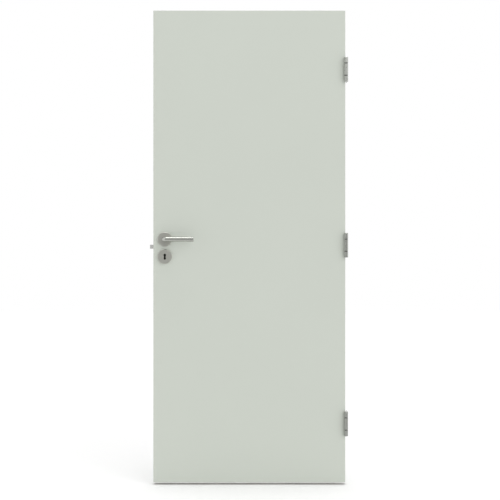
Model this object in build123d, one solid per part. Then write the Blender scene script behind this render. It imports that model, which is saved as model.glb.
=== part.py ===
from build123d import *
import os

# Interior door leaf on three butt hinges, with a mortise lock and lever handles.
# Millimetres. X runs along the leaf, from its lock edge to its hinge edge.
# Y runs through the leaf, and the face with the hinge barrels looks to -Y. Z is up.
# The origin is the middle of the seat of the bottom hinge's frame wing.

# Leaf
leaf_width = 830.0
leaf_height = 2040.0
leaf_thickness = 40.0
skin_thickness = 3.5
band_thickness = 2.0
arris_radius = 0.8
stile_width = 35.0
rail_height = 60.0
lock_block_depth = 75.0
lock_block_height = 330.0

# Hinge places: heights above the leaf's lower edge, and a drop from its top
bottom_hinge_height = 255.0
middle_hinge_height = 1025.5
top_hinge_drop = 256.0

# Hinges
hinge_height = 106.0
barrel_radius = 8.5
barrel_bevel = 1.4
knuckle_gap = 3.5
ring_play = 0.3
ring_step = 1.3
pin_radius = 4.5
running_gap = 0.05
barrel_cap = 3.0
pin_end_gap = 0.5
axis_stand_off = 12.0
wing_thickness = 3.0
wing_gap = 5.0
wing_reach = 30.0
wing_corner = 7.0
wing_relief = 1.5
recess_gap = 0.2
screw_hole_radius = 2.75
countersink_radius = 4.75
outer_screw_spacing = 80.0
inner_screw_spacing = 30.0
screw_row_spacing = 12.0

# Lock
backset = 50.0
lever_height = 1051.0
key_drop = 75.0
latch_drop = 32.0
dead_bolt_drop = 75.0
forend_height = 235.0
forend_width = 20.0
forend_thickness = 3.0
forend_screw_spacing = 213.0
case_thickness = 15.0
case_depth = 78.0
case_rise = 40.0
case_fall = 125.0
case_edge_radius = 2.0
mortise_gap = 0.5
latch_height = 17.5
latch_thickness = 12.0
latch_throw = 15.5
latch_tail = 26.0
latch_nose = 3.0
bolt_gap = 0.4
dead_bolt_height = 28.0
dead_bolt_thickness = 9.0
dead_bolt_length = 32.0
follower_radius = 11.0
follower_gap = 0.08

# Lever handles and roses
spindle_width = 8.0
spindle_gap = 0.05
lever_radius = 10.5
lever_bend_radius = 12.0
lever_stand_off = 52.0
lever_reach = 126.0
lever_end_round = 1.2
lever_seat_gap = 1.0
rose_radius = 31.0
rose_height = 10.0
rose_bevel = 1.8
neck_gap = 0.3
spindle_hole_radius = 11.0
keyhole_top_radius = 5.5
keyhole_foot_radius = 5.0
keyhole_waist = 7.5
keyhole_height = 25.5
keyway_gap = 2.0
key_slot_margin = 6.0

# Places worked out from the sizes above
axis_x = -wing_thickness - wing_gap / 2
hinge_edge_x = -wing_thickness - wing_gap
lock_edge_x = hinge_edge_x - leaf_width
front_y = -wing_reach / 2
back_y = front_y + leaf_thickness
middle_y = front_y + leaf_thickness / 2
axis_y = front_y - axis_stand_off
wing_end_y = front_y + wing_reach
leaf_bottom_z = -bottom_hinge_height
leaf_top_z = leaf_bottom_z + leaf_height
spindle_x = lock_edge_x + backset
spindle_z = leaf_bottom_z + lever_height
key_z = spindle_z - key_drop
latch_z = spindle_z - latch_drop
dead_bolt_z = spindle_z - dead_bolt_drop
case_top_z = spindle_z + case_rise
case_bottom_z = spindle_z - case_fall
case_z = (case_top_z + case_bottom_z) / 2
case_x = lock_edge_x + forend_thickness
hinge_places = {
    "bottom": 0.0,
    "middle": middle_hinge_height - bottom_hinge_height,
    "top": leaf_height - top_hinge_drop - bottom_hinge_height,
}
middle_knuckle = hinge_height / 2 - knuckle_gap
outer_knuckle = (hinge_height - middle_knuckle) / 2 - knuckle_gap


def block(x, y, z):
    """Square-edged solid between two places on each axis."""
    size = (x[1] - x[0], y[1] - y[0], z[1] - z[0])
    return Pos((x[0] + x[1]) / 2, (y[0] + y[1]) / 2, (z[0] + z[1]) / 2) * Box(*size)


def rod_x(x, y, z, radius):
    """Round solid along X, between two places on X."""
    return Pos((x[0] + x[1]) / 2, y, z) * Rot(0, 90, 0) * Cylinder(radius, x[1] - x[0])


def rod_y(x, y, z, radius):
    """Round solid along Y, between two places on Y."""
    return Pos(x, (y[0] + y[1]) / 2, z) * Rot(90, 0, 0) * Cylinder(radius, y[1] - y[0])


def rod_z(x, y, z, radius):
    """Round solid along Z, between two places on Z."""
    return Pos(x, y, (z[0] + z[1]) / 2) * Cylinder(radius, z[1] - z[0])


def countersunk_hole(x, y, z, deep_side):
    """Screw hole along X through a plate, with its countersink towards deep_side."""
    depth = countersink_radius - screw_hole_radius
    low, high = x
    hole = rod_x((low - 1, high + 1), y, z, screw_hole_radius)
    if deep_side > 0:
        sink = Pos(high - depth / 2, y, z) * Rot(0, 90, 0)
    else:
        sink = Pos(low + depth / 2, y, z) * Rot(0, -90, 0)
    return hole + sink * Cone(screw_hole_radius, countersink_radius, depth)


def wing_screw_places():
    """Staggered screws of a hinge wing, as offsets on Y and Z from its middle."""
    half_row = screw_row_spacing / 2
    outer = outer_screw_spacing / 2
    inner = inner_screw_spacing / 2
    return [(half_row, outer), (half_row, -outer), (-half_row, inner), (-half_row, -inner)]


def wing_plate(x, hinge_z, screw_side):
    """Flat wing of a hinge, from its barrel's axis back along the edge of the leaf."""
    half = hinge_height / 2
    plate = block(x, (axis_y, wing_end_y), (hinge_z - half, hinge_z + half))
    back_corners = plate.edges().filter_by(Axis.X).group_by(Axis.Y)[-1]
    plate = fillet(back_corners, wing_corner)
    for y, z in wing_screw_places():
        plate -= countersunk_hole(x, y, hinge_z + z, screw_side)
    return plate


def knuckle(z, free_end):
    """Barrel segment between two heights, its free end bevelled where it has one."""
    segment = rod_z(axis_x, axis_y, z, barrel_radius)
    if free_end:
        rims = segment.edges().filter_by(GeomType.CIRCLE).sort_by(Axis.Z)
        segment = chamfer(rims[-1] if free_end > 0 else rims[0], barrel_bevel)
    return segment


def hinge_leaf_wing(hinge_z):
    """Wing let into the leaf's edge, with the top and bottom knuckles."""
    half = hinge_height / 2
    x = (hinge_edge_x - wing_thickness, hinge_edge_x)
    wing = wing_plate(x, hinge_z, 1)
    inner = half - outer_knuckle
    wing -= rod_z(axis_x, axis_y, (hinge_z - inner, hinge_z + inner), barrel_radius + wing_relief)
    wing += knuckle((hinge_z + inner, hinge_z + half), 1)
    wing += knuckle((hinge_z - half, hinge_z - inner), -1)
    bore = half - barrel_cap
    return wing - rod_z(axis_x, axis_y, (hinge_z - bore, hinge_z + bore), pin_radius + running_gap)


def hinge_frame_wing(hinge_z):
    """Wing that screws to the frame, with the middle knuckle."""
    half = hinge_height / 2
    inner = middle_knuckle / 2
    wing = wing_plate((-wing_thickness, 0), hinge_z, -1)
    for low, high in ((inner, half + 1), (-half - 1, -inner)):
        wing -= rod_z(axis_x, axis_y, (hinge_z + low, hinge_z + high), barrel_radius + wing_relief)
    wing += knuckle((hinge_z - inner, hinge_z + inner), 0)
    return wing - rod_z(axis_x, axis_y, (hinge_z - half, hinge_z + half), pin_radius + running_gap)


def hinge_pin(hinge_z):
    """Pin held in the middle knuckle, on which the outer knuckles turn."""
    half = hinge_height / 2 - barrel_cap - pin_end_gap
    pin = rod_z(axis_x, axis_y, (hinge_z - half, hinge_z + half), pin_radius)
    return chamfer(pin.edges().filter_by(GeomType.CIRCLE), running_gap * 10)


def hinge_rings(hinge_z):
    """Two bearing rings, one at each end of the middle knuckle."""
    inner = middle_knuckle / 2
    thickness = knuckle_gap - ring_play
    rings = Part()
    for low in (inner, -inner - thickness):
        z = (hinge_z + low, hinge_z + low + thickness)
        ring = rod_z(axis_x, axis_y, z, barrel_radius - ring_step)
        rings += ring - rod_z(axis_x, axis_y, z, pin_radius + running_gap)
    return rings


def hinge_recesses():
    """Flat pockets in the leaf's hinge edge that take the leaf wings."""
    half = hinge_height / 2 + recess_gap
    pockets = Part()
    for hinge_z in hinge_places.values():
        pocket = block(
            (hinge_edge_x - wing_thickness, hinge_edge_x + 1),
            (front_y - 1, wing_end_y + recess_gap),
            (hinge_z - half, hinge_z + half),
        )
        back_corners = pocket.edges().filter_by(Axis.X).group_by(Axis.Y)[-1]
        pockets += fillet(back_corners, wing_corner)
    return pockets


def keyhole(y, margin):
    """Keyhole through Y: a round top and foot joined by a slim waist, grown by margin."""
    top_z = key_z + keyhole_height / 2 - keyhole_top_radius
    foot_z = key_z - keyhole_height / 2 + keyhole_foot_radius
    waist = keyhole_waist / 2 + margin
    hole = rod_y(spindle_x, y, top_z, keyhole_top_radius + margin)
    hole += rod_y(spindle_x, y, foot_z, keyhole_foot_radius + margin)
    return hole + block((spindle_x - waist, spindle_x + waist), y, (foot_z, top_z))


def key_slot(y):
    """Plain round-ended slot through the leaf behind the keyholes."""
    width = 2 * (keyhole_top_radius + key_slot_margin)
    height = keyhole_height + 2 * key_slot_margin
    outline = Plane.XZ * SlotOverall(height, width, rotation=90)
    return Pos(spindle_x, y[1], key_z) * extrude(outline, y[1] - y[0])


def forend_outline(height, width):
    """Long plate with round ends, flat in the YZ plane."""
    return Plane.YZ * SlotOverall(height, width, rotation=90)


def lock_mortise():
    """Room in the leaf for the lock: case pocket, forend recess, spindle and key holes."""
    half = case_thickness / 2 + mortise_gap
    pocket = block(
        (lock_edge_x - 1, case_x + case_depth + mortise_gap),
        (middle_y - half, middle_y + half),
        (case_bottom_z - mortise_gap, case_top_z + mortise_gap),
    )
    recess = Pos(lock_edge_x - 1, middle_y, case_z) * extrude(
        forend_outline(forend_height + 2 * recess_gap, forend_width + 2 * recess_gap),
        forend_thickness + 1,
    )
    through = (front_y - 1, back_y + 1)
    spindle_hole = rod_y(spindle_x, through, spindle_z, spindle_hole_radius)
    return pocket + recess + spindle_hole + key_slot(through)


def leaf_boards():
    """Boards of the leaf before anything is cut into them."""
    core_y = (front_y + skin_thickness, back_y - skin_thickness)
    full_y = (front_y, back_y)
    inner_x = (lock_edge_x + band_thickness, hinge_edge_x - band_thickness)
    core_x = (inner_x[0] + stile_width, inner_x[1] - stile_width)
    band_z = leaf_top_z - band_thickness
    core_z = (leaf_bottom_z + rail_height, band_z - rail_height)
    block_x = (core_x[0], core_x[0] + lock_block_depth)
    block_z = (case_z - lock_block_height / 2, case_z + lock_block_height / 2)
    lock_block = block(block_x, core_y, block_z)
    return {
        "leaf_core": block(core_x, core_y, core_z) - lock_block,
        "leaf_lock_block": lock_block,
        "leaf_lock_stile": block((inner_x[0], core_x[0]), core_y, (leaf_bottom_z, band_z)),
        "leaf_hinge_stile": block((core_x[1], inner_x[1]), core_y, (leaf_bottom_z, band_z)),
        "leaf_top_rail": block(core_x, core_y, (core_z[1], band_z)),
        "leaf_bottom_rail": block(core_x, core_y, (leaf_bottom_z, core_z[0])),
        "leaf_front_skin": block(inner_x, (front_y, core_y[0]), (leaf_bottom_z, band_z)),
        "leaf_back_skin": block(inner_x, (core_y[1], back_y), (leaf_bottom_z, band_z)),
        "leaf_lock_band": edge_band((lock_edge_x, inner_x[0]), full_y, -1),
        "leaf_hinge_band": edge_band((inner_x[1], hinge_edge_x), full_y, 1),
        "leaf_top_band": top_band(inner_x, full_y, (band_z, leaf_top_z)),
    }


def edge_band(x, y, side):
    """Band up a long edge of the leaf, its outer corners eased."""
    band = block(x, y, (leaf_bottom_z, leaf_top_z))
    corners = band.edges().filter_by(Axis.Z).group_by(Axis.X)[0 if side < 0 else -1]
    return fillet(corners, arris_radius)


def top_band(x, y, z):
    """Band along the top of the leaf, its outer corners eased."""
    band = block(x, y, z)
    return fillet(band.edges().filter_by(Axis.X).group_by(Axis.Z)[-1], arris_radius)


def leaf_nodes():
    """Boards of the leaf with the room for its hardware cut out."""
    rooms = [lock_mortise(), hinge_recesses()]
    nodes = {}
    for name, board in leaf_boards().items():
        for room in rooms:
            board -= room
        nodes[name] = board
    return nodes


def bolt_channel(z, thickness, height, reach):
    """Room for a bolt to slide along X, from outside the forend into the case."""
    half_y = thickness / 2 + bolt_gap
    half_z = height / 2 + bolt_gap
    return block(
        (lock_edge_x - 1, case_x + reach),
        (middle_y - half_y, middle_y + half_y),
        (z - half_z, z + half_z),
    )


def bolt_channels():
    """Channels of the latch bolt and of the dead bolt."""
    latch_reach = latch_tail + latch_throw + 2 * bolt_gap
    latch = bolt_channel(latch_z, latch_thickness, latch_height, latch_reach)
    dead_reach = dead_bolt_length - forend_thickness + bolt_gap
    return latch + bolt_channel(dead_bolt_z, dead_bolt_thickness, dead_bolt_height, dead_reach)


def lock_case():
    """Closed lock case with channels for its bolts, the follower's bore and the keyway."""
    y = (middle_y - case_thickness / 2, middle_y + case_thickness / 2)
    case = block((case_x, case_x + case_depth), y, (case_bottom_z, case_top_z))
    case = fillet(case.edges().filter_by(Axis.Y).group_by(Axis.X)[-1], case_edge_radius)
    case -= bolt_channels()
    case -= rod_y(spindle_x, y, spindle_z, follower_radius + follower_gap)
    return case - keyhole(y, keyway_gap)


def lock_forend():
    """Face plate of the lock, flush in the leaf's edge."""
    plate = Pos(lock_edge_x, middle_y, case_z) * extrude(
        forend_outline(forend_height, forend_width), forend_thickness
    )
    x = (lock_edge_x, lock_edge_x + forend_thickness)
    for z in (case_z - forend_screw_spacing / 2, case_z + forend_screw_spacing / 2):
        plate -= countersunk_hole(x, middle_y, z, -1)
    return plate - bolt_channels()


def latch_bolt():
    """Latch bolt, its nose bevelled on the side that meets the frame first."""
    y = (middle_y - latch_thickness / 2, middle_y + latch_thickness / 2)
    z = (latch_z - latch_height / 2, latch_z + latch_height / 2)
    bevel = latch_thickness - latch_nose
    nose_x = lock_edge_x - latch_throw
    outline = Polyline(
        (nose_x, y[0]),
        (nose_x, y[0] + latch_nose),
        (nose_x + bevel, y[1]),
        (case_x + latch_tail, y[1]),
        (case_x + latch_tail, y[0]),
        close=True,
    )
    bolt = extrude(Plane.XY.offset(z[0]) * make_face(outline), latch_height)
    return bolt


def dead_bolt():
    """Dead bolt, drawn in until it is flush with the forend."""
    half_y = dead_bolt_thickness / 2
    half_z = dead_bolt_height / 2
    return block(
        (lock_edge_x, lock_edge_x + dead_bolt_length),
        (middle_y - half_y, middle_y + half_y),
        (dead_bolt_z - half_z, dead_bolt_z + half_z),
    )


def square_bar(y, width):
    """Square bar along Y on the spindle's axis."""
    half = width / 2
    return block(
        (spindle_x - half, spindle_x + half), y, (spindle_z - half, spindle_z + half)
    )


def follower():
    """Round follower of the lock with its square hole."""
    y = (middle_y - case_thickness / 2, middle_y + case_thickness / 2)
    hub = rod_y(spindle_x, y, spindle_z, follower_radius)
    return hub - square_bar(y, spindle_width + 2 * spindle_gap)


def spindle_span():
    """Ends of the spindle on Y, well inside both lever necks."""
    reach = lever_stand_off - lever_bend_radius - lever_radius
    return (front_y - reach, back_y + reach)


def lever():
    """Front lever: a round bar bent from its neck into the grip, with a square socket."""
    seat_y = front_y - lever_seat_gap
    grip_y = front_y - lever_stand_off
    line = FilletPolyline(
        (spindle_x, seat_y, spindle_z),
        (spindle_x, grip_y, spindle_z),
        (spindle_x + lever_reach, grip_y, spindle_z),
        radius=lever_bend_radius,
    )
    start = Plane(origin=(spindle_x, seat_y, spindle_z), z_dir=(0, -1, 0))
    bar = sweep(start * Circle(lever_radius), path=line)
    end_rim = bar.edges().filter_by(GeomType.CIRCLE).sort_by(Axis.X)[-1]
    bar = fillet(end_rim, lever_end_round)
    socket = (spindle_span()[0] - spindle_gap, seat_y)
    return bar - square_bar(socket, spindle_width + 2 * spindle_gap)


def rose(z):
    """Round cover on the front face with a bevelled rim."""
    outer_y = front_y - rose_height
    disc = rod_y(spindle_x, (outer_y, front_y), z, rose_radius)
    rim = disc.edges().filter_by(GeomType.CIRCLE).sort_by(Axis.Y)[0]
    return chamfer(rim, rose_bevel)


def handle_rose():
    """Rose that the lever's neck turns in."""
    y = (front_y - rose_height, front_y)
    return rose(spindle_z) - rod_y(spindle_x, y, spindle_z, lever_radius + neck_gap)


def key_rose():
    """Rose with the keyhole."""
    return rose(key_z) - keyhole((front_y - rose_height, front_y), 0)


def to_back(part):
    """Copy of a front piece on the leaf's back face."""
    return mirror(part, about=Plane.XZ.offset(-middle_y))


def lock_nodes():
    """Lock, spindle, levers and roses."""
    return {
        "lock_case": lock_case(),
        "lock_forend": lock_forend(),
        "latch_bolt": latch_bolt(),
        "dead_bolt": dead_bolt(),
        "lock_follower": follower(),
        "lever_spindle": square_bar(spindle_span(), spindle_width),
        "lever_front": lever(),
        "lever_back": to_back(lever()),
        "handle_rose_front": handle_rose(),
        "handle_rose_back": to_back(handle_rose()),
        "key_rose_front": key_rose(),
        "key_rose_back": to_back(key_rose()),
    }


def hinge_nodes():
    """Four pieces of each hinge."""
    nodes = {}
    for place, hinge_z in hinge_places.items():
        nodes[f"hinge_{place}_leaf_wing"] = hinge_leaf_wing(hinge_z)
        nodes[f"hinge_{place}_frame_wing"] = hinge_frame_wing(hinge_z)
        nodes[f"hinge_{place}_pin"] = hinge_pin(hinge_z)
        nodes[f"hinge_{place}_rings"] = hinge_rings(hinge_z)
    return nodes


os.makedirs("parts", exist_ok=True)
for name, node in (leaf_nodes() | lock_nodes() | hinge_nodes()).items():
    export_step(node, f"parts/{name}.step")
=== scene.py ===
import math

import bmesh
import bpy
from mathutils import Matrix, Vector


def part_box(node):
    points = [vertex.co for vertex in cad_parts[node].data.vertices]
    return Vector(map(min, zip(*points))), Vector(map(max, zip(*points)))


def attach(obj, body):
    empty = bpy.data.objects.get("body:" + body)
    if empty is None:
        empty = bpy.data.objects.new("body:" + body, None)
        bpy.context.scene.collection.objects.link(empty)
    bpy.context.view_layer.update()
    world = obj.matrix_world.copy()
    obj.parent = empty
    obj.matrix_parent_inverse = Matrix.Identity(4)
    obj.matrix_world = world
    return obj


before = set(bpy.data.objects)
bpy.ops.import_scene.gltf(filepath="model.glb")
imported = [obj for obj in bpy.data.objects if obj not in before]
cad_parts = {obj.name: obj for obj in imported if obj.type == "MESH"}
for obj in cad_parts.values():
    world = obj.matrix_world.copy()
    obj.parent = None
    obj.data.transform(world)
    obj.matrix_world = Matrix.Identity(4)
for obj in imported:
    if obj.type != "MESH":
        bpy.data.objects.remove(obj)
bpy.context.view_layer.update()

# Places of the three hinges
HINGES = ("bottom", "middle", "top")

# The photograph, in its pixels: its side, and where the leaf's edges stand
PHOTO_SIDE = 500
LEAF_LEFT_PX = 153.35
LEAF_TOP_PX = 10.56
LEAF_BOTTOM_PX = 482.4

# Camera: distances in metres, sensor in millimetres
CAMERA_DISTANCE = 5.0
CAMERA_REACH = 100.0
SENSOR_WIDTH = 36.0

# Floor: its depth below the leaf and its reach in metres, and how much it glows
FLOOR_GAP = 0.0102
FLOOR_REACH = 14.0
FLOOR_GLOW = 0.03

# Light of the white room on the object
WORLD_LIGHT = 0.475

# Lamps: the direction that each one stands in, its strength, and its width in degrees
KEY_TOWARDS = (0.8, -1.0, 0.4)
KEY_STRENGTH = 1.15
KEY_SPREAD = 60.0
TOP_TOWARDS = (0.0, 0.035, 1.0)
TOP_STRENGTH = 1.42
TOP_SPREAD = 36.0
FILL_TOWARDS = (-1.0, -0.5, 0.15)
FILL_STRENGTH = 0.25
FILL_SPREAD = 30.0

# Grey card, in metres: distances from the leaf at its foot and top, height and half width
CARD_NEAR = 1.8
CARD_FAR = 2.4
CARD_HEIGHT = 2.3
CARD_REACH = 2.5

# Brightness of the grey card
CARD_GREY = 0.50

# Screws, in metres: head, shank and cross recess
SCREW_HEAD_RADIUS = 0.0046
SCREW_SHANK_RADIUS = 0.0024
SCREW_LENGTH = 0.007
SCREW_BEVEL = 0.0002
SCREW_SINK = 0.00015
CROSS_REACH = 0.0023
CROSS_HALF_WIDTH = 0.00055
CROSS_DEPTH = 0.0015
CROSS_FOOT_REACH = CROSS_REACH * 0.55
CROSS_FOOT_HALF_WIDTH = CROSS_HALF_WIDTH * 0.7
CROSS_ARMS = 4

# Places of the screws in metres, from the middle of the hinge wing or of the forend
WING_ROW_OFFSET = 0.006
OUTER_SCREW_OFFSET = 0.040
INNER_SCREW_OFFSET = 0.015
FOREND_SCREW_OFFSET = 0.1065

# Degrees that each cross recess is turned further than the one before
SCREW_TURN = 37

# Steps round a circle, and along the belly of the tumbler plate
ROUND_STEPS = 40
BELLY_STEPS = ROUND_STEPS // 2

# Tumbler plate inside the lock case, across the keyhole, in metres
TUMBLER_THICKNESS = 0.0016
TUMBLER_WIDTH = 0.018
TUMBLER_HEIGHT = 0.032
TUMBLER_BELLY = 0.003

# Colours, linear red, green and blue
WHITE = (1.0, 1.0, 1.0)
BLACK = (0.0, 0.0, 0.0)
FLOOR_WHITE = (0.98, 0.98, 0.98)
PAINT = (0.582, 0.616, 0.556)
STEEL = (0.405, 0.412, 0.382)
ROSE_STEEL = (0.487, 0.489, 0.446)
HINGE_STEEL = (0.347, 0.355, 0.333)
BOLT_STEEL = (0.80, 0.80, 0.78)
PLATED_STEEL = (0.50, 0.50, 0.48)
ZINC = (0.40, 0.41, 0.41)
# Tumbler plate's steel, near black as painted shade seen through the keyhole
TUMBLER_SHADE_STEEL = (0.05, 0.05, 0.045)
NYLON = (0.02, 0.02, 0.02)
TIMBER_LIGHT = (0.37, 0.33, 0.27)
TIMBER_DARK = (0.21, 0.18, 0.14)

# Roughness: lowest and highest value on a surface
PAINT_ROUGH = (0.40, 0.48)
SATIN_ROUGH = (0.22, 0.34)
LEVER_ROUGH = (0.19, 0.29)
ROSE_ROUGH = (0.36, 0.48)
BOLT_ROUGH = (0.20, 0.30)
PLATED_ROUGH = (0.25, 0.36)
CASE_ROUGH = (0.45, 0.60)
TUMBLER_ROUGH = (0.40, 0.55)
NYLON_ROUGH = (0.50, 0.65)
TIMBER_ROUGH = (0.55, 0.75)
CHIP_ROUGH = (0.70, 0.90)

# Fineness of the brushing and the grain, for each metre along X, Y and Z
LEVER_HAIRS = (24.0, 2200.0, 2200.0)
FOREND_HAIRS = (900.0, 900.0, 12.0)
HINGE_HAIRS = (60.0, 60.0, 2600.0)
PIN_HAIRS = (60.0, 60.0, 2000.0)
BOLT_HAIRS = (18.0, 1400.0, 1400.0)
SPINDLE_HAIRS = (1200.0, 14.0, 1200.0)
SCREW_HAIRS = (900.0, 1400.0, 1400.0)
TUMBLER_HAIRS = (800.0, 800.0, 60.0)
CASE_HAIRS = (400.0, 400.0, 400.0)
UPRIGHT_GRAIN = (160.0, 160.0, 9.0)
LEVEL_GRAIN = (9.0, 160.0, 160.0)

# Fineness of the pressed chips along X, Y and Z, against that along X
CHIP_STRETCH = (1.0, 2.6, 1.0)

# Fineness of the roses' rings: along the radius, for each radian round the axis, and along Y
ROSE_HAIRS = (5200.0, 1.5, 900.0)


def leaf_box():
    """Lowest and highest corner of the whole leaf."""
    low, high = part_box("leaf_lock_band")
    high = Vector(map(max, high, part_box("leaf_hinge_band")[1]))
    return low, high


LEAF_LOW, LEAF_HIGH = leaf_box()
FLOOR_LEVEL = LEAF_LOW.z - FLOOR_GAP


class Nodes:
    """Small helper that adds nodes to one node tree and links them."""

    def __init__(self, tree):
        self.tree = tree

    def add(self, kind, **values):
        """New node with its attributes set."""
        node = self.tree.nodes.new(kind)
        for key, value in values.items():
            setattr(node, key, value)
        return node

    def put(self, socket, value):
        """Links a socket to value, or sets value as its default."""
        if isinstance(value, bpy.types.NodeSocket):
            self.tree.links.new(value, socket)
        else:
            socket.default_value = value

    def math(self, operation, first, second=0.0):
        """Sum, product or other arithmetic of two values."""
        node = self.add("ShaderNodeMath", operation=operation)
        self.put(node.inputs[0], first)
        self.put(node.inputs[1], second)
        return node.outputs[0]

    def weigh(self, first, second, share):
        """Sum of two values, with share of the first and the rest of the second."""
        part = self.math("MULTIPLY", first, share)
        rest = self.math("MULTIPLY", second, 1.0 - share)
        return self.math("ADD", part, rest)

    def place(self, scale=(1, 1, 1), shift=(0, 0, 0)):
        """Place on the object in metres, stretched by scale and moved by shift."""
        coordinates = self.add("ShaderNodeTexCoord").outputs["Object"]
        mapping = self.add("ShaderNodeMapping")
        self.put(mapping.inputs["Vector"], coordinates)
        self.put(mapping.inputs["Scale"], scale)
        self.put(mapping.inputs["Location"], shift)
        return mapping.outputs[0]

    def noise(self, vector, scale, detail, roughness=0.5):
        """Smooth random value that varies over vector."""
        node = self.add("ShaderNodeTexNoise")
        self.put(node.inputs["Vector"], vector)
        self.put(node.inputs["Scale"], scale)
        self.put(node.inputs["Detail"], detail)
        self.put(node.inputs["Roughness"], roughness)
        return node.outputs["Fac"]

    def span(self, value, low, high):
        """Value from 0 to 1 spread between low and high."""
        node = self.add("ShaderNodeMapRange")
        self.put(node.inputs["Value"], value)
        self.put(node.inputs["To Min"], low)
        self.put(node.inputs["To Max"], high)
        return node.outputs[0]

    def blend(self, factor, first, second):
        """Colour between first and second."""
        node = self.add("ShaderNodeMix", data_type="RGBA")
        self.put(node.inputs["Factor"], factor)
        self.put(node.inputs["A"], first)
        self.put(node.inputs["B"], second)
        return node.outputs["Result"]

    def seen(self):
        """1 for rays from the camera, off a glossy surface or through glass, 0 for others."""
        rays = self.add("ShaderNodeLightPath")
        larger = rays.outputs["Is Camera Ray"]
        for kind in ("Is Glossy Ray", "Is Transmission Ray"):
            larger = self.math("MAXIMUM", larger, rays.outputs[kind])
        return larger


class Finish(Nodes):
    """One new material, with helpers for its Principled shader."""

    def __init__(self, name):
        self.material = bpy.data.materials.new(name)
        self.material.use_nodes = True
        super().__init__(self.material.node_tree)
        self.shader = self.tree.nodes["Principled BSDF"]

    def set(self, **values):
        """Sets or links the shader's own sockets."""
        for key, value in values.items():
            self.put(self.shader.inputs[key.replace("_", " ")], value)

    def tint(self, factor, colour, darkest, lightest):
        """Colours the surface between darkest and lightest times colour."""
        self.set(Base_Color=self.blend(factor, rgba(colour, darkest), rgba(colour, lightest)))

    def bump(self, height, distance, strength):
        """Raises the surface by height times distance."""
        node = self.add("ShaderNodeBump")
        self.put(node.inputs["Height"], height)
        self.put(node.inputs["Distance"], distance)
        self.put(node.inputs["Strength"], strength)
        self.set(Normal=node.outputs[0])


def rgba(colour, factor=1.0):
    """Colour times factor, with full alpha."""
    return tuple(channel * factor for channel in colour) + (1.0,)


def paint(name, colour):
    """Satin lacquer rolled on a smooth board: faint mottling and a fine orange peel."""
    n = Finish(name)
    spot = n.place()
    cloud = n.noise(spot, scale=2.5, detail=4.0)
    speck = n.noise(spot, scale=900.0, detail=2.0)
    peel = n.noise(spot, scale=420.0, detail=2.0)
    n.tint(n.weigh(cloud, speck, share=0.8), colour, darkest=0.985, lightest=1.015)
    n.set(Roughness=n.span(cloud, *PAINT_ROUGH))
    n.bump(peel, distance=0.00006, strength=0.6)
    return n.material


def brushed(name, colour, hairs, rough=SATIN_ROUGH):
    """Satin steel with straight brushing, as fine along X, Y and Z as hairs says."""
    n = Finish(name)
    hair = n.noise(n.place(hairs), scale=1.0, detail=4.0, roughness=0.7)
    cloud = n.noise(n.place(), scale=30.0, detail=2.0)
    n.tint(n.weigh(hair, cloud, share=0.7), colour, darkest=0.93, lightest=1.07)
    n.set(Metallic=1.0, Roughness=n.span(hair, *rough))
    n.bump(hair, distance=0.00002, strength=0.7)
    return n.material


def turned(name, colour, centre):
    """Satin steel brushed in rings round an axis along Y through centre."""
    n = Finish(name)
    parts = n.add("ShaderNodeSeparateXYZ")
    n.put(parts.inputs[0], n.place(shift=(-centre.x, 0, -centre.z)))
    x, y, z = parts.outputs
    reach = n.math("SQRT", n.math("ADD", n.math("MULTIPLY", x, x), n.math("MULTIPLY", z, z)))
    angle = n.math("ARCTAN2", z, x)
    rings = n.add("ShaderNodeCombineXYZ")
    for socket, value, fineness in zip(rings.inputs, (reach, angle, y), ROSE_HAIRS):
        n.put(socket, n.math("MULTIPLY", value, fineness))
    hair = n.noise(rings.outputs[0], scale=1.0, detail=3.0, roughness=0.6)
    n.tint(hair, colour, darkest=0.93, lightest=1.06)
    n.set(Metallic=1.0, Roughness=n.span(hair, *ROSE_ROUGH))
    n.bump(hair, distance=0.00002, strength=0.6)
    return n.material


def nylon(name, colour):
    """Dull moulded plastic with a fine grain."""
    n = Finish(name)
    grain = n.noise(n.place(), scale=1500.0, detail=2.0)
    n.tint(grain, colour, darkest=0.8, lightest=1.3)
    n.set(Roughness=n.span(grain, *NYLON_ROUGH), Specular_IOR_Level=0.2)
    n.bump(grain, distance=0.00003, strength=0.5)
    return n.material


def timber(name, fineness):
    """Planed softwood whose grain runs along the axis of least fineness."""
    n = Finish(name)
    spot = n.place(fineness)
    warp = n.noise(spot, scale=1.0, detail=4.0, roughness=0.6)
    rings = n.add("ShaderNodeTexWave", wave_type="BANDS", bands_direction="X")
    n.put(rings.inputs["Vector"], spot)
    n.put(rings.inputs["Scale"], 0.7)
    n.put(rings.inputs["Distortion"], 6.0)
    n.put(rings.inputs["Detail"], 3.0)
    grain = n.weigh(rings.outputs["Fac"], warp, share=0.6)
    n.set(Base_Color=n.blend(grain, rgba(TIMBER_LIGHT), rgba(TIMBER_DARK)))
    n.set(Roughness=n.span(warp, *TIMBER_ROUGH))
    n.bump(grain, distance=0.0001, strength=0.5)
    return n.material


def chipboard(name):
    """Pressed chips seen on a sawn edge."""
    n = Finish(name)
    cells = n.add("ShaderNodeTexVoronoi", feature="F1")
    n.put(cells.inputs["Vector"], n.place(CHIP_STRETCH))
    n.put(cells.inputs["Scale"], 260.0)
    chips = cells.outputs["Distance"]
    n.set(Base_Color=n.blend(chips, rgba(TIMBER_DARK), rgba(TIMBER_LIGHT)))
    n.set(Roughness=n.span(chips, *CHIP_ROUGH))
    n.bump(chips, distance=0.0004, strength=0.6)
    return n.material


def dress(node, material):
    """Gives a CAD node one material."""
    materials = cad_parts[node].data.materials
    materials.clear()
    materials.append(material)


def centre_of(node):
    """Middle of a CAD node's box."""
    low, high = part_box(node)
    return (low + high) / 2


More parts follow.
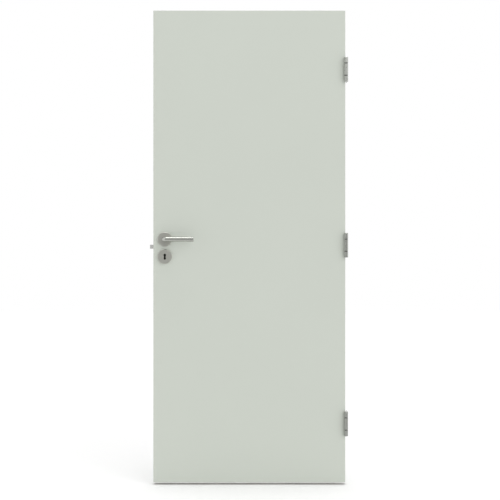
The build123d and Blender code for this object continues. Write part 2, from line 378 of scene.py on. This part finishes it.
def dress_leaf():
    """Paint on the faces and edge bands, bare wood below."""
    skin = paint("leaf_paint", PAINT)
    for node in ("front_skin", "back_skin", "lock_band", "hinge_band", "top_band"):
        dress("leaf_" + node, skin)
    upright = timber("upright_timber", UPRIGHT_GRAIN)
    level = timber("level_timber", LEVEL_GRAIN)
    for node in ("lock_stile", "hinge_stile", "lock_block"):
        dress("leaf_" + node, upright)
    for node in ("top_rail", "bottom_rail"):
        dress("leaf_" + node, level)
    dress("leaf_core", chipboard("core_chips"))


def dress_lock():
    """Brushed forend and spindle, bright latch bolt, plated dead bolt and follower, dull case."""
    dress("lock_case", brushed("case_zinc", ZINC, CASE_HAIRS, CASE_ROUGH))
    dress("lock_forend", brushed("forend_steel", STEEL, FOREND_HAIRS))
    dress("latch_bolt", brushed("bolt_steel", BOLT_STEEL, BOLT_HAIRS, BOLT_ROUGH))
    plated = brushed("plated_steel", PLATED_STEEL, BOLT_HAIRS, PLATED_ROUGH)
    for node in ("dead_bolt", "lock_follower"):
        dress(node, plated)
    dress("lever_spindle", brushed("spindle_zinc", ZINC, SPINDLE_HAIRS))


def dress_handles():
    """Levers brushed along their length, and roses brushed in rings."""
    bar = brushed("lever_steel", STEEL, LEVER_HAIRS, LEVER_ROUGH)
    for side in ("front", "back"):
        dress("lever_" + side, bar)
        for kind in ("handle_rose", "key_rose"):
            node = f"{kind}_{side}"
            dress(node, turned(node + "_steel", ROSE_STEEL, centre_of(node)))


def dress_hinges():
    """Barrels and wings brushed round the pin, with dark rings between the knuckles."""
    barrel = brushed("hinge_steel", HINGE_STEEL, HINGE_HAIRS)
    pin = brushed("pin_steel", BOLT_STEEL, PIN_HAIRS)
    ring = nylon("ring_nylon", NYLON)
    pieces = (("leaf_wing", barrel), ("frame_wing", barrel), ("pin", pin), ("rings", ring))
    for place in HINGES:
        for piece, material in pieces:
            dress(f"hinge_{place}_{piece}", material)


def circle(bm, radius, x):
    """Ring of vertices round X at one depth."""
    ring = []
    for step in range(ROUND_STEPS):
        turn = 2 * math.pi * step / ROUND_STEPS
        ring.append(bm.verts.new((x, radius * math.cos(turn), radius * math.sin(turn))))
    return ring


def join_rings(bm, first, second):
    """Side faces between two rings of as many vertices."""
    count = len(first)
    for i in range(count):
        j = (i + 1) % count
        bm.faces.new((first[i], first[j], second[j], second[i]))


def cross(bm, reach, half_width, x):
    """Outline of a cross recess at one depth."""
    arm = [(half_width, -half_width), (reach, -half_width), (reach, half_width)]
    points = []
    for number in range(CROSS_ARMS):
        turn = Matrix.Rotation(number * 2 * math.pi / CROSS_ARMS, 2)
        points += [turn @ Vector(point) for point in arm]
    return [bm.verts.new((x, y, z)) for y, z in points]


def finished(bm, name):
    """Mesh of a closed shape, with its faces looking outwards."""
    bmesh.ops.recalc_face_normals(bm, faces=bm.faces)
    mesh = bpy.data.meshes.new(name)
    bm.to_mesh(mesh)
    bm.free()
    return mesh


def screw_mesh():
    """Countersunk screw whose flat head faces +X, with a cross recess."""
    bm = bmesh.new()
    edge = circle(bm, SCREW_HEAD_RADIUS - SCREW_BEVEL, 0)
    rim = circle(bm, SCREW_HEAD_RADIUS, -SCREW_BEVEL)
    neck = circle(bm, SCREW_SHANK_RADIUS, SCREW_SHANK_RADIUS - SCREW_HEAD_RADIUS)
    tip = circle(bm, SCREW_SHANK_RADIUS, -SCREW_LENGTH)
    for first, second in ((edge, rim), (rim, neck), (neck, tip)):
        join_rings(bm, second, first)
    bm.faces.new(tip)
    mouth = cross(bm, CROSS_REACH, CROSS_HALF_WIDTH, 0)
    foot = cross(bm, CROSS_FOOT_REACH, CROSS_FOOT_HALF_WIDTH, -CROSS_DEPTH)
    join_rings(bm, mouth, foot)
    bm.faces.new(foot)
    loops = []
    for ring in (edge, mouth):
        loops += [bm.edges.get((ring[i - 1], ring[i])) for i in range(len(ring))]
    bmesh.ops.triangle_fill(bm, edges=loops, use_beauty=True, normal=(1, 0, 0))
    return finished(bm, "screw")


def add_object(name, data):
    """New object in the scene."""
    thing = bpy.data.objects.new(name, data)
    bpy.context.scene.collection.objects.link(thing)
    return thing


def add_piece(name, mesh, body):
    """New object that moves with a body; its finish comes with the mesh."""
    piece = add_object(name, mesh)
    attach(piece, body)


def add_screw(name, mesh, place, towards, turn):
    """One screw at place, its head towards +X or -X, its recess turned by some degrees."""
    copy = mesh.copy()
    copy.transform(Matrix.Rotation(math.radians(turn), 4, "X"))
    if towards < 0:
        copy.transform(Matrix.Rotation(math.pi, 4, "Z"))
    copy.transform(Matrix.Translation(place))
    add_piece(name, copy, "leaf")


def add_screws():
    """Four screws in each leaf wing and two in the forend."""
    mesh = screw_mesh()
    mesh.materials.append(brushed("screw_steel", PLATED_STEEL, SCREW_HAIRS))
    rows = [(WING_ROW_OFFSET, OUTER_SCREW_OFFSET), (-WING_ROW_OFFSET, INNER_SCREW_OFFSET)]
    spots = [(y, z * side) for y, z in rows for side in (1, -1)]
    turn = 0
    for place in HINGES:
        middle = centre_of(f"hinge_{place}_leaf_wing")
        for number, (y, z) in enumerate(spots, 1):
            turn += SCREW_TURN
            spot = (LEAF_HIGH.x - SCREW_SINK, y, middle.z + z)
            add_screw(f"hinge_{place}_screw_{number}", mesh, spot, 1, turn)
    middle = centre_of("lock_forend")
    for number, side in enumerate((1, -1), 1):
        turn += SCREW_TURN
        spot = (LEAF_LOW.x + SCREW_SINK, middle.y, middle.z + side * FOREND_SCREW_OFFSET)
        add_screw(f"forend_screw_{number}", mesh, spot, -1, turn)


def add_tumbler():
    """Plate with a rounded belly that stands across the keyhole inside the lock case; painted
    shade makes it near black.
    """
    case = centre_of("lock_case")
    key = centre_of("key_rose_front")
    half = TUMBLER_WIDTH / 2
    top = TUMBLER_HEIGHT / 2
    outline = [(-half, top), (half, top)]
    for step in range(BELLY_STEPS + 1):
        turn = math.pi * step / BELLY_STEPS
        drop = TUMBLER_BELLY - TUMBLER_BELLY * math.sin(turn)
        outline.append((half * math.cos(turn), drop - top))
    bm = bmesh.new()
    sides = []
    for y in (case.y - TUMBLER_THICKNESS / 2, case.y + TUMBLER_THICKNESS / 2):
        sides.append([bm.verts.new((key.x + x, y, key.z + z)) for x, z in outline])
        bm.faces.new(sides[-1])
    join_rings(bm, *sides)
    mesh = finished(bm, "lock_tumbler")
    # Near-black colour: painted shade inside the lock, so the keyhole looks dark
    mesh.materials.append(brushed("tumbler_painted_shade", TUMBLER_SHADE_STEEL, TUMBLER_HAIRS, TUMBLER_ROUGH))
    add_piece("lock_tumbler", mesh, "leaf")


def add_sheet(name, corners, material):
    """Flat object with four corners."""
    mesh = bpy.data.meshes.new(name)
    mesh.from_pydata(corners, [], [(0, 1, 2, 3)])
    mesh.materials.append(material)
    return add_object(name, mesh)


def add_floor():
    """Pale floor a little below the leaf, white to the camera where nothing shades it."""
    n = Finish("floor_white")
    n.set(Base_Color=rgba(FLOOR_WHITE), Roughness=1.0, Specular_IOR_Level=0.0)
    glow = n.math("MULTIPLY", n.seen(), FLOOR_GLOW)
    n.set(Emission_Color=rgba(WHITE), Emission_Strength=glow)
    signs = ((-1, -1), (1, -1), (1, 1), (-1, 1))
    corners = [(x * FLOOR_REACH, y * FLOOR_REACH, FLOOR_LEVEL) for x, y in signs]
    floor = add_sheet("floor", corners, n.material)


def add_world():
    """White room: seen as white, and lighting the object softly."""
    world = bpy.data.worlds.new("studio")
    bpy.context.scene.world = world
    world.use_nodes = True
    n = Nodes(world.node_tree)
    background = n.tree.nodes["Background"]
    n.put(background.inputs["Color"], rgba(WHITE))
    n.put(background.inputs["Strength"], n.span(n.seen(), WORLD_LIGHT, 1.0))


def add_sun(name, towards, spread, strength):
    """Soft distant lamp that shines from the direction towards."""
    lamp = bpy.data.lights.new(name, "SUN")
    lamp.energy = strength
    lamp.angle = math.radians(spread)
    thing = add_object(name, lamp)
    thing.rotation_euler = Vector(towards).to_track_quat("Z", "Y").to_euler()


def add_lights():
    """Key from the front, right and above, a lamp overhead and a fill on the left."""
    add_sun("key", KEY_TOWARDS, KEY_SPREAD, KEY_STRENGTH)
    add_sun("top", TOP_TOWARDS, TOP_SPREAD, TOP_STRENGTH)
    add_sun("fill", FILL_TOWARDS, FILL_SPREAD, FILL_STRENGTH)


def add_card():
    """Grey card leaning away in front of the door, seen in reflections alone."""
    n = Finish("card_grey")
    n.set(Base_Color=rgba(BLACK), Roughness=1.0)
    n.set(Emission_Color=rgba(WHITE), Emission_Strength=CARD_GREY)
    near, far = LEAF_LOW.y - CARD_NEAR, LEAF_LOW.y - CARD_FAR
    middle = (LEAF_LOW.x + LEAF_HIGH.x) / 2
    left, right = middle - CARD_REACH, middle + CARD_REACH
    foot, top = FLOOR_LEVEL, FLOOR_LEVEL + CARD_HEIGHT
    corners = [(left, near, foot), (right, near, foot), (right, far, top), (left, far, top)]
    card = add_sheet("card", corners, n.material)
    card.visible_camera = False
    card.visible_diffuse = False
    card.visible_shadow = False


def add_camera():
    """Camera square to the leaf, framed so that the leaf's edges fall as in the photograph."""
    metres_per_pixel = (LEAF_HIGH.z - LEAF_LOW.z) / (LEAF_BOTTOM_PX - LEAF_TOP_PX)
    middle = PHOTO_SIDE / 2
    data = bpy.data.cameras.new("camera")
    data.sensor_width = SENSOR_WIDTH
    data.lens = SENSOR_WIDTH * CAMERA_DISTANCE / (PHOTO_SIDE * metres_per_pixel)
    data.clip_end = CAMERA_REACH
    camera = add_object("camera", data)
    camera.location = (
        LEAF_LOW.x + (middle - LEAF_LEFT_PX) * metres_per_pixel,
        LEAF_LOW.y - CAMERA_DISTANCE,
        LEAF_HIGH.z - (middle - LEAF_TOP_PX) * metres_per_pixel,
    )
    camera.rotation_euler = (math.radians(90), 0, 0)
    bpy.context.scene.camera = camera


dress_leaf()
dress_lock()
dress_handles()
dress_hinges()
add_screws()
add_tumbler()
add_floor()
add_world()
add_lights()
add_card()
add_camera()
bpy.context.scene.view_settings.view_transform = "Standard"
